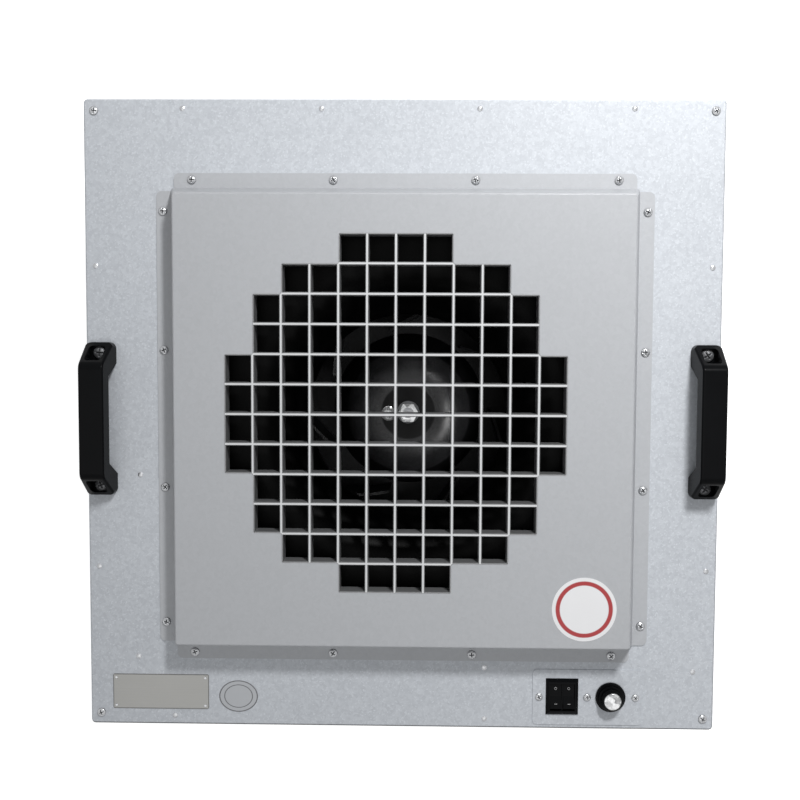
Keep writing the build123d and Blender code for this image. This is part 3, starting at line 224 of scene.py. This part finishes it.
finishes = {
    # effect, its inputs,
    # dark and light colour, roughness range, metallic, coat, bump
    "galvanised_sheet": (
        "spangle", {"Crystals": 380.0, "Clouds": 9.0, "Specks": 0.6},
        (0.455, 0.477, 0.511), (0.622, 0.650, 0.688), (0.38, 0.52), 0.03, 0.0, 0.07),
    "cover_sheet": (
        "spangle", {"Crystals": 330.0, "Clouds": 4.0, "Specks": 0.1},
        (0.435, 0.446, 0.464), (0.480, 0.492, 0.512), (0.40, 0.50), 0.03, 0.0, 0.02),
    "zinc_fastener": (
        "drawn", {"AlongX": 700.0, "AlongY": 700.0, "AlongZ": 150.0},
        (0.28, 0.285, 0.295), (0.58, 0.59, 0.605), (0.22, 0.36), 0.75, 0.0, 0.03),
    # painted shade for the screws' cross recesses and rims
    "painted_screw_shade": (
        "drawn", {"AlongX": 900.0, "AlongY": 900.0, "AlongZ": 300.0},
        (0.030, 0.031, 0.034), (0.075, 0.077, 0.082), (0.45, 0.60), 0.3, 0.0, 0.03),
    "dull_fastener": (
        "drawn", {"AlongX": 700.0, "AlongY": 700.0, "AlongZ": 150.0},
        (0.10, 0.102, 0.108), (0.19, 0.193, 0.20), (0.40, 0.55), 0.4, 0.0, 0.03),
    # painted reflection: on the chrome, patches from near black to light stand in for reflections
    "polished_metal": (
        "spangle", {"Crystals": 190.0, "Clouds": 120.0, "Specks": 0.0},
        (0.02, 0.021, 0.023), (0.66, 0.665, 0.67), (0.10, 0.20), 1.0, 0.0, 0.05),
    "white_plastic": (
        "grain", {"Grain": 1800.0, "Patches": 20.0},
        (0.555, 0.562, 0.572), (0.615, 0.622, 0.632), (0.32, 0.42), 0.0, 0.10, 0.02),
    "black_plastic": (
        "grain", {"Grain": 2200.0, "Patches": 40.0},
        (0.0022, 0.0024, 0.0028), (0.0045, 0.0048, 0.0055), (0.16, 0.28), 0.0, 0.0, 0.02),
    "impeller_plastic": (
        "grain", {"Grain": 1200.0, "Patches": 14.0},
        (0.001, 0.001, 0.0011), (0.004, 0.004, 0.0043), (0.34, 0.50), 0.0, 0.0, 0.12),
    # near black, partly its own black and partly painted shade that keeps the inside seen through the
    # grille dark
    "black_coated_metal": (
        "grain", {"Grain": 1500.0, "Patches": 18.0},
        (0.0012, 0.0012, 0.0012), (0.003, 0.003, 0.003), (0.36, 0.5), 0.0, 0.0, 0.05),
    "rubber_black": (
        "grain", {"Grain": 900.0, "Patches": 60.0},
        (0.012, 0.012, 0.012), (0.028, 0.028, 0.028), (0.62, 0.8), 0.0, 0.0, 0.12),
    # near black, partly its own colour and partly painted shade for the inside seen through the
    # grille
    "foam_dark": (
        "grain", {"Grain": 420.0, "Patches": 90.0},
        (0.02, 0.02, 0.022), (0.06, 0.06, 0.065), (0.85, 0.98), 0.0, 0.0, 0.6),
    "steel_raw": (
        "drawn", {"AlongX": 900.0, "AlongY": 900.0, "AlongZ": 30.0},
        (0.30, 0.307, 0.32), (0.46, 0.467, 0.48), (0.28, 0.44), 0.6, 0.0, 0.03),
    "copper_winding": (
        "drawn", {"AlongX": 900.0, "AlongY": 900.0, "AlongZ": 900.0},
        (0.36, 0.12, 0.04), (0.62, 0.26, 0.10), (0.25, 0.4), 0.9, 0.3, 0.2),
    "plate_label": (
        "drawn", {"AlongX": 14.0, "AlongY": 900.0, "AlongZ": 900.0},
        (0.345, 0.342, 0.326), (0.425, 0.422, 0.405), (0.30, 0.44), 0.10, 0.0, 0.02),
    "frame_aluminium": (
        "drawn", {"AlongX": 40.0, "AlongY": 40.0, "AlongZ": 900.0},
        (0.42, 0.427, 0.44), (0.54, 0.547, 0.56), (0.34, 0.46), 0.25, 0.0, 0.02),
    "filter_paper": (
        "grain", {"Grain": 1400.0, "Patches": 70.0},
        (0.80, 0.80, 0.78), (0.90, 0.90, 0.89), (0.80, 0.95), 0.0, 0.0, 0.25),
    "gasket_foam": (
        "grain", {"Grain": 700.0, "Patches": 80.0},
        (0.42, 0.43, 0.43), (0.58, 0.59, 0.59), (0.80, 0.95), 0.0, 0.0, 0.3),
    "circuit_board": (
        "drawn", {"AlongX": 320.0, "AlongY": 24.0, "AlongZ": 24.0},
        (0.012, 0.09, 0.035), (0.025, 0.17, 0.07), (0.2, 0.3), 0.0, 0.4, 0.05),
    "capacitor_shell": (
        "grain", {"Grain": 1200.0, "Patches": 30.0},
        (0.68, 0.68, 0.66), (0.78, 0.78, 0.75), (0.25, 0.35), 0.0, 0.3, 0.02),
    "terminal_plastic": (
        "grain", {"Grain": 1500.0, "Patches": 40.0},
        (0.72, 0.72, 0.68), (0.82, 0.82, 0.79), (0.40, 0.55), 0.0, 0.0, 0.06),
    "sticker_white": (
        "grain", {"Grain": 1500.0, "Patches": 30.0},
        (0.80, 0.80, 0.81), (0.86, 0.86, 0.87), (0.3, 0.4), 0.0, 0.2, 0.01),
    "sticker_clear": (
        "grain", {"Grain": 1500.0, "Patches": 30.0},
        (0.405, 0.42, 0.442), (0.455, 0.47, 0.492), (0.2, 0.3), 0.0, 0.2, 0.01),
    "switch_print": (
        "grain", {"Grain": 1500.0, "Patches": 30.0},
        (0.30, 0.30, 0.30), (0.42, 0.42, 0.42), (0.4, 0.5), 0.0, 0.0, 0.01),
    "grille_moulding": (
        "grain", {"Grain": 1800.0, "Patches": 20.0},
        (0.66, 0.667, 0.675), (0.72, 0.727, 0.735), (0.32, 0.42), 0.0, 0.10, 0.02),
}
# the top panel's own copy, which carries the painted shade along its bends
finishes["panel_sheet"] = finishes["galvanised_sheet"]


# how strongly a surface mirrors its surroundings, where it isn't the usual amount
usualShine = 0.5
shine = {"black_plastic": 0.04, "impeller_plastic": 0.07, "black_coated_metal": 0.05,
         "galvanised_sheet": 0.35, "panel_sheet": 0.35, "cover_sheet": 0.35}
bumpHeight = 0.5 * mm
coatRough = 0.25


def opaque(colour):
    return (*colour, 1.0)


def principled(tree):
    return next(n for n in tree.nodes if n.type == "BSDF_PRINCIPLED")


def makeFinish(name, paint=None):
    # the effect drives colour, roughness and bump; paint may colour parts of the surface
    effect, values, dark, light, rough, metallic, coat, bump = finishes[name]
    material = bpy.data.materials.new(name)
    material.use_nodes = True
    tree = material.node_tree
    shader = principled(tree)
    made = addNode(tree, "ShaderNodeGroup", {"node_tree": effects[effect]}, values)
    colour = mixColour(tree, made.outputs["Shade"], opaque(dark), opaque(light))
    if paint:
        colour = paint(tree, colour)
    tree.links.new(colour, shader.inputs["Base Color"])
    roughness = rescale(tree, made.outputs["Gloss"], 0.0, 1.0, *rough)
    tree.links.new(roughness, shader.inputs["Roughness"])
    raised = addNode(tree, "ShaderNodeBump", {}, {
        "Height": made.outputs["Height"], "Strength": bump, "Distance": bumpHeight})
    tree.links.new(raised.outputs["Normal"], shader.inputs["Normal"])
    shader.inputs["Metallic"].default_value = metallic
    shader.inputs["Specular IOR Level"].default_value = shine.get(name, usualShine)
    shader.inputs["Coat Weight"].default_value = coat
    shader.inputs["Coat Roughness"].default_value = coatRough
    return material


def middleOf(node):
    low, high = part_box(node)
    return (low + high) / 2, (high - low) / 2


def fromCentre(tree, centre):
    # places in the plane, counted from a centre
    return vectorMath(tree, "SUBTRACT", coordinates(tree), (centre.x, centre.y, 0.0))[0]


def ovalRadius(tree, centre, halfX, halfY):
    # 1 on the ellipse with those half sizes, less inside it
    flat = vectorMath(tree, "MULTIPLY", fromCentre(tree, centre), (1 / halfX, 1 / halfY, 0.0))[0]
    return vectorMath(tree, "LENGTH", flat)["Value"]


def band(tree, value, low, high, soft):
    # 1 between low and high, with soft edges
    up = rescale(tree, value, low - soft, low + soft)
    down = rescale(tree, value, high - soft, high + soft, 1.0, 0.0)
    return math2(tree, "MULTIPLY", up, down)


# sizes in mm, apart from the stickers' rings, which are shares of the sticker's own radius
# the dome's lighter speckled band is partly dust and partly a painted sheen
dustAndSheen = {"inner": 26.0, "outer": 60.0, "soft": 0.8, "speckle": 1500.0,
           "speckRange": (0.40, 0.62, 0.25, 1.0), "dustAndSheenTone": (0.014, 0.014, 0.015),
           "sheen": 0.55, "sheenRough": 0.36}
# painted shade along the top panel's front and right bends
foldShade = {"steep": (0.12, 0.50), "above": 281.5, "front": 1.0, "right": 0.3,
            "shadeTone": (0.025, 0.026, 0.028)}
# painted shade: the grille bars' eased edges and sides are darker than their tops
barSideShade = {"slant": 0.80, "flat": 0.985, "side": (0.17, 0.172, 0.175)}
roundSticker = {"ringIn": 0.755, "ringOut": 0.885, "soft": 0.012, "red": (0.36, 0.006, 0.010)}
ovalSticker = {"outer": (0.935, 0.99), "inner": (0.69, 0.735), "soft": 0.012,
               "ink": (0.055, 0.058, 0.066)}
nameplateEdge = {"wide": 0.9, "ink": (0.13, 0.13, 0.125)}


def redRing(tree, colour):
    centre, half = middleOf("round_sticker")
    radius = ovalRadius(tree, centre, half.x, half.y)
    ring = band(tree, radius, *(roundSticker[key] for key in ("ringIn", "ringOut", "soft")))
    return mixColour(tree, ring, colour, opaque(roundSticker["red"]))


def twoOutlines(tree, colour):
    centre, half = middleOf("oval_sticker")
    radius = ovalRadius(tree, centre, half.x, half.y)
    lines = [band(tree, radius, *ovalSticker[key], ovalSticker["soft"])
             for key in ("outer", "inner")]
    ink = math2(tree, "MAXIMUM", *lines)
    return mixColour(tree, ink, colour, opaque(ovalSticker["ink"]))


def domeBand(tree):
    # a speckled band round the dome, between its flat middle and the blades
    radius = ovalRadius(tree, middleOf("impeller")[0], mm, mm)
    ring = band(tree, radius, dustAndSheen["inner"], dustAndSheen["outer"], dustAndSheen["soft"])
    specks = noise(tree, coordinates(tree), dustAndSheen["speckle"], 2.0)
    amount = rescale(tree, specks["Fac"], *dustAndSheen["speckRange"])
    return math2(tree, "MULTIPLY", ring, amount)


def dustAndPaintedSheen(tree, colour):
    # the band is painted lighter: partly dust, partly a painted sheen
    return mixColour(tree, domeBand(tree), colour, opaque(dustAndSheen["dustAndSheenTone"]))


def addSheen(tree):
    # the dome's band also wears a thin dull coat
    shader = principled(tree)
    weight = math2(tree, "MULTIPLY", domeBand(tree), dustAndSheen["sheen"])
    tree.links.new(weight, shader.inputs["Coat Weight"])
    shader.inputs["Coat Roughness"].default_value = dustAndSheen["sheenRough"]


def paintedFoldShade(tree, colour):
    # painted shade: the steep part of the bend is darkened along the front edge, and less so along
    # the right
    facing = separate(tree, coordinates(tree, "Normal"))
    place = separate(tree, coordinates(tree))
    low, high = foldShade["steep"]
    front = rescale(tree, facing["Y"], -low, -high, 0.0, foldShade["front"])
    right = rescale(tree, facing["X"], low, high, 0.0, foldShade["right"])
    top = math2(tree, "GREATER_THAN", place["Z"], foldShade["above"] * mm)
    amount = math2(tree, "MULTIPLY", math2(tree, "MAXIMUM", front, right), top)
    return mixColour(tree, amount, colour, opaque(foldShade["shadeTone"]))


def paintedSideShade(tree, colour):
    # painted shade: the flat upper face of a bar keeps its colour; eased edges and upright sides are
    # painted darker
    facing = separate(tree, coordinates(tree, "Normal"))
    upward = rescale(tree, facing["Z"], barSideShade["slant"], barSideShade["flat"])
    return mixColour(tree, upward, opaque(barSideShade["side"]), colour)


def darkEdge(tree, colour):
    # 1 within a narrow border of the plate's own outline
    centre, half = middleOf("nameplate")
    apart = separate(tree, vectorMath(tree, "ABSOLUTE", fromCentre(tree, centre))[0])
    wide = nameplateEdge["wide"] * mm
    acrossX = rescale(tree, apart["X"], half.x - wide, half.x - wide / 2)
    acrossY = rescale(tree, apart["Y"], half.y - wide, half.y - wide / 2)
    edge = math2(tree, "MAXIMUM", acrossX, acrossY)
    return mixColour(tree, edge, colour, opaque(nameplateEdge["ink"]))


paints = {"panel_sheet": paintedFoldShade, "sticker_white": redRing, "sticker_clear": twoOutlines,
          "plate_label": darkEdge, "grille_moulding": paintedSideShade, "impeller_plastic": dustAndPaintedSheen}
materials = {name: makeFinish(name, paints.get(name)) for name in finishes}
addSheen(materials["impeller_plastic"].node_tree)

# nodes whose look differs from the rest of their slot
special = {"top_panel": "panel_sheet", "intake_grille": "grille_moulding",
           "shaft_washer": "dull_fastener"}

for entry in frame["record"]["subparts"]:
    piece = nodes[entry["node"]]
    chosen = materials[special.get(entry["node"], entry["material_slot"])]
    if not piece.material_slots:
        piece.data.materials.append(chosen)
    for place in piece.material_slots:
        place.material = chosen
print("materials made and given:", len(materials))


# screws with a cross recess

screwSet = {
    # the cross, the crown and the eased edges are shares of the head's radius or height
    "spokes": 48, "rings": 11, "ringSpacing": 0.85, "crown": 0.6, "rimHeight": 0.2, "foot": 0.98,
    "crossReach": 0.66, "crossWidth": 0.12, "crossDepth": 0.7, "wallEase": 0.05, "tipEase": 0.08,
    "shadeShare": 0.6, "firstTurn": 0.4, "nextTurn": 1.1,
}
screwKinds = {
    # sizes in mm; places follow the box of the node that is replaced
    "cover_screws": {"head": (3.9, 2.4), "shank": (2.0, 7.0), "layout": "sides",
                     "count": 4, "pitch": (127.5, 125.0)},
    "corner_screws": {"head": (3.9, 2.4), "shank": (2.0, 7.0), "layout": "corners"},
    "handle_screws": {"head": (5.6, 3.5), "shank": (3.0, 14.0), "layout": "corners",
                      "finish": "dull_fastener"},
    "plate_screws": {"head": (3.3, 1.9), "shank": (2.0, 7.0), "layout": "row", "count": 3},
}


def screwPlaces(node):
    # rows along the sides of the node's box, its corners, or one row along X
    kind = screwKinds[node]
    low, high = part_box(node)
    inset = kind["head"][0] * mm
    left, right, front, back = low.x + inset, high.x - inset, low.y + inset, high.y - inset
    if kind["layout"] == "corners":
        return [(x, y) for x in (left, right) for y in (front, back)]
    if kind["layout"] == "row":
        return [(x, (front + back) / 2) for x in np.linspace(left, right, kind["count"])]
    steps = (np.arange(kind["count"]) - (kind["count"] - 1) / 2) * mm
    alongX = (left + right) / 2 + steps * kind["pitch"][0]
    alongY = (front + back) / 2 + steps * kind["pitch"][1]
    return ([(x, y) for x in alongX for y in (front, back)]
            + [(x, y) for x in (left, right) for y in alongY])


def screwPoints(headR, headH, shankR, shankL, turn):
    # A profile turned round Z: a crown z = h (1 - 0.6 (r/R)^2), the rim, the underside and the
    # shank. On the crown a cross is pressed in. Also gives the rim and recess corners, painted as
    # shade.
    rings, spokes = screwSet["rings"], screwSet["spokes"]
    share = np.linspace(0, 1, rings) ** screwSet["ringSpacing"]
    radius = np.concatenate([
        share * headR, [headR, headR * screwSet["foot"], shankR, shankR, 0.0]])
    height = np.concatenate([
        headH * (1 - screwSet["crown"] * share ** 2),
        [headH * screwSet["rimHeight"], 0, 0, -shankL, -shankL]])
    angle = np.linspace(0, 2 * np.pi, spokes, endpoint=False)
    x = radius[:, None] * np.cos(angle)
    y = radius[:, None] * np.sin(angle)
    z = np.repeat(height[:, None], spokes, axis=1)
    across = np.minimum(np.abs(x), np.abs(y)) / headR
    along = np.hypot(x, y) / headR
    bars = np.clip((screwSet["crossWidth"] - across) / screwSet["wallEase"], 0, 1)
    reach = np.clip((screwSet["crossReach"] - along) / screwSet["tipEase"], 0, 1)
    pressed = bars * reach * headH * screwSet["crossDepth"]
    pressed[rings:] = 0
    z = z - pressed
    dark = bars * reach > 0.5
    dark[rings - 1:] = True
    c, s = math.cos(turn), math.sin(turn)
    return np.stack([x * c - y * s, x * s + y * c, z], axis=-1), dark


def makeScrews(node):
    (headR, headH), (shankR, shankL) = screwKinds[node]["head"], screwKinds[node]["shank"]
    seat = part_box(node)[1].z - headH * mm
    corners, quads, shadedCorners, start = [], [], [], 0
    for number, (x, y) in enumerate(screwPlaces(node)):
        turn = screwSet["firstTurn"] + screwSet["nextTurn"] * number
        shape, dark = screwPoints(headR, headH, shankR, shankL, turn)
        points = shape * mm + np.array([x, y, seat])
        rows, columns = points.shape[:2]
        quads.append(gridQuads(rows, columns, closedRound=True)[:, ::-1] + start)
        corners.append(points.reshape(-1, 3))
        shadedCorners.append(dark.reshape(-1))
        start += rows * columns
    quads = np.concatenate(quads)
    finish = materials[screwKinds[node].get("finish", "zinc_fastener")]
    piece = meshPiece(node + "_cross", np.concatenate(corners), quads,
                      "housing", finish)
    # the rim and the cross recess take a near-black finish: painted shade
    piece.data.materials.append(materials["painted_screw_shade"])
    chosen = np.concatenate(shadedCorners)[quads].mean(axis=1) > screwSet["shadeShare"]
    piece.data.polygons.foreach_set("material_index", chosen.astype(np.int32))
    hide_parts(node)


for node in screwKinds:
    makeScrews(node)
print("cross screws made:", len(screwKinds))


# pleated filter pack

pack = {"pleats": 170, "stepsPerFold": 4, "crest": 0.96, "thickness": 0.4, "rows": 24}


def makePack():
    # z follows a triangle wave along X with rounded crests, the same at every Y
    low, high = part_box("filter_pack")
    steps = pack["pleats"] * 2 * pack["stepsPerFold"]
    u = np.linspace(0, pack["pleats"], steps + 1)
    margin = pack["thickness"] * mm
    x = low.x + margin + (high.x - low.x - 2 * margin) * u / pack["pleats"]
    wave = np.arcsin(pack["crest"] * np.sin(2 * np.pi * u)) / np.arcsin(pack["crest"])
    middle, swing = (low.z + high.z) / 2, (high.z - low.z) / 2 - margin
    y = np.linspace(low.y, high.y, pack["rows"])
    points = np.empty((len(y), len(x), 3))
    points[..., 0] = x[None, :]
    points[..., 1] = y[:, None]
    points[..., 2] = (middle + swing * wave)[None, :]
    piece = gridPiece("filter_pleats", points, "housing",
                      materials["filter_paper"])
    skin = piece.modifiers.new("paper", "SOLIDIFY")
    skin.thickness = pack["thickness"] * mm
    skin.offset = 0.0
    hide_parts("filter_pack")


makePack()
print("filter pleats made")


# marks on the rockers

rockerMarks = {
    # mm and degrees, in the rocker's own plane
    "pivotZ": 282.5, "tilt": 9.0, "dip": 4.1, "rise": 1.7, "half": 11.3, "at": 7.0, "clear": 0.04,
    "ringR": 1.25, "ringWide": 0.35, "ringSteps": 25, "barLong": 2.6, "barWide": 0.5,
    "barSteps": (5, 3), "ink": 0.06,
}


def onRocker(flat, centreX, centreY, side):
    # flat[..., 0:2] lies in the rocker's own plane; the half slopes up to its tip
    slope = rockerMarks["rise"] / rockerMarks["half"]
    y = flat[..., 1] + side * rockerMarks["at"]
    z = rockerMarks["dip"] + slope * np.abs(y) + rockerMarks["clear"]
    tilt = -math.radians(rockerMarks["tilt"])
    turnedY = y * math.cos(tilt) - z * math.sin(tilt)
    turnedZ = y * math.sin(tilt) + z * math.cos(tilt)
    out = np.empty(flat.shape[:2] + (3,))
    out[..., 0] = centreX + flat[..., 0] * mm
    out[..., 1] = centreY + turnedY * mm
    out[..., 2] = (rockerMarks["pivotZ"] + turnedZ) * mm
    return out


def makeMarks(node, body):
    low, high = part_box(node)
    centreX = (low.x + high.x) / 2
    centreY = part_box("switch_body")[0].y / 2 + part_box("switch_body")[1].y / 2
    turn = np.linspace(0, 2 * np.pi, rockerMarks["ringSteps"])
    radius = np.array([rockerMarks["ringR"] - rockerMarks["ringWide"], rockerMarks["ringR"]])
    ring = np.stack([radius[:, None] * np.cos(turn), radius[:, None] * np.sin(turn)], axis=-1)
    stepsLong, stepsWide = rockerMarks["barSteps"]
    bar = np.stack(np.meshgrid(
        np.linspace(-0.5, 0.5, stepsLong) * rockerMarks["barLong"],
        np.linspace(-0.5, 0.5, stepsWide) * rockerMarks["barWide"]), axis=-1)
    for name, flat, side in (("off_ring", ring, 1), ("on_bar", bar, -1)):
        points = onRocker(flat, centreX, centreY, side)
        piece = gridPiece(f"{node}_{name}", points, body,
                          materials["switch_print"])
        ink = piece.modifiers.new("ink", "SOLIDIFY")
        ink.thickness = rockerMarks["ink"] * mm
        ink.offset = 0.0


makeMarks("rocker_left", "rocker_left_body")
makeMarks("rocker_right", "rocker_right_body")
print("rocker marks made")


# floor, lights and world

studio = {
    # metres; white and sky are the plain background and the soft light from above
    "floorHalf": 4.0, "floorDrop": 0.0003, "floorColour": (0.80, 0.80, 0.80), "floorGlow": 0.80,
    "white": (1.0, 1.0, 1.0), "sky": (0.96, 0.98, 1.0), "ambient": 0.18,
}
lamps = {
    # metres and watts; the side lamp lights the impeller alone, at about twice the plain level
    "keyLamp": {"at": (0.42, 1.04, 1.49), "aim": (1.06, 1.08, 0.284), "size": 0.30, "power": 40.0},
    "fillLamp": {"at": (-0.1, -0.5, 2.2), "aim": (0.0, 0.0, 0.28), "size": 2.0, "power": 9.0},
    "sideLamp": {"at": (0.58, -0.24, 1.15), "aim": (0.0, 0.0, 0.28), "size": 0.40, "power": 32.0},
}
# the rays that see the plain background
backgroundRays = ("Is Camera Ray", "Is Glossy Ray", "Is Transmission Ray")


def mixShader(tree, factor, first, second):
    node = addNode(tree, "ShaderNodeMixShader", {}, {0: factor})
    tree.links.new(first, node.inputs[1])
    tree.links.new(second, node.inputs[2])
    return node.outputs[0]


def seenRays(tree):
    # 1 for any of the background rays
    path = tree.nodes.new("ShaderNodeLightPath")
    total = path.outputs[backgroundRays[0]]
    for kind in backgroundRays[1:]:
        total = math2(tree, "MAXIMUM", total, path.outputs[kind])
    return total


def makeFloor():
    side = np.linspace(-studio["floorHalf"], studio["floorHalf"], 3)
    x, y = np.meshgrid(side, side)
    points = np.stack([x, y, np.full_like(x, -studio["floorDrop"])], axis=-1)
    floor = newMesh("floor", points, gridQuads(*x.shape))
    material = bpy.data.materials.new("paleFloor")
    material.use_nodes = True
    tree = material.node_tree
    tree.nodes.clear()
    matte = addNode(tree, "ShaderNodeBsdfDiffuse", {}, {"Color": opaque(studio["floorColour"])})
    glow = addNode(tree, "ShaderNodeEmission", {}, {
        "Color": opaque(studio["white"]), "Strength": studio["floorGlow"]})
    both = tree.nodes.new("ShaderNodeAddShader")
    tree.links.new(matte.outputs[0], both.inputs[0])
    tree.links.new(glow.outputs[0], both.inputs[1])
    out = tree.nodes.new("ShaderNodeOutputMaterial")
    surface = mixShader(tree, seenRays(tree), matte.outputs[0], both.outputs[0])
    tree.links.new(surface, out.inputs["Surface"])
    floor.data.materials.append(material)


def makeWorld():
    world = bpy.data.worlds.new("whiteStudio")
    world.use_nodes = True
    bpy.context.scene.world = world
    tree = world.node_tree
    tree.nodes.clear()
    white = addNode(tree, "ShaderNodeBackground", {}, {
        "Color": opaque(studio["white"]), "Strength": 1.0})
    soft = addNode(tree, "ShaderNodeBackground", {}, {
        "Color": opaque(studio["sky"]), "Strength": studio["ambient"]})
    out = tree.nodes.new("ShaderNodeOutputWorld")
    surface = mixShader(tree, seenRays(tree), soft.outputs[0], white.outputs[0])
    tree.links.new(surface, out.inputs["Surface"])


def makeLamp(name):
    chosen = lamps[name]
    lamp = bpy.data.lights.new(name, "AREA")
    lamp.shape = "DISK"
    lamp.size = chosen["size"]
    lamp.energy = chosen["power"]
    holder = bpy.data.objects.new(name, lamp)
    bpy.context.scene.collection.objects.link(holder)
    holder.location = chosen["at"]
    aim = Vector(chosen["aim"]) - Vector(chosen["at"])
    holder.rotation_euler = aim.to_track_quat("-Z", "Y").to_euler()
    return holder


makeFloor()
makeWorld()
holders = {name: makeLamp(name) for name in lamps}
fanOnly = bpy.data.collections.new("fanOnly")
fanOnly.objects.link(nodes["impeller"])
holders["sideLamp"].light_linking.receiver_collection = fanOnly
print("floor and lights made")


# camera

viewpoint = {
    # focal and centre in pixels of the frame, turn in degrees, offset, level and sensor in mm
    "frame": 800, "focal": 1036.3, "centre": (403.5, 402.0), "turn": (3.497, -1.093, -0.344),
    "offset": (-1.55, -15.01, -941.6), "level": 284.0, "sensor": 36.0,
    "clip": (0.05, 50.0),    # metres
}


def makeCamera():
    # a point p on the object is at R p + offset in the camera's own axes
    turn = Euler([math.radians(a) for a in viewpoint["turn"]], "XYZ").to_matrix()
    offset = Vector(viewpoint["offset"]) * mm
    place = -(turn.transposed() @ offset) + Vector((0, 0, viewpoint["level"] * mm))
    lens = bpy.data.cameras.new("mainCamera")
    lens.sensor_width = viewpoint["sensor"]
    lens.lens = viewpoint["sensor"] * viewpoint["focal"] / viewpoint["frame"]
    half = viewpoint["frame"] / 2
    lens.shift_x = (half - viewpoint["centre"][0]) / viewpoint["frame"]
    lens.shift_y = (viewpoint["centre"][1] - half) / viewpoint["frame"]
    lens.clip_start, lens.clip_end = viewpoint["clip"]
    camera = bpy.data.objects.new("mainCamera", lens)
    bpy.context.scene.collection.objects.link(camera)
    camera.matrix_world = Matrix.Translation(place) @ turn.transposed().to_4x4()
    bpy.context.scene.camera = camera


makeCamera()
bpy.context.scene.view_settings.view_transform = "Standard"
print("camera made")
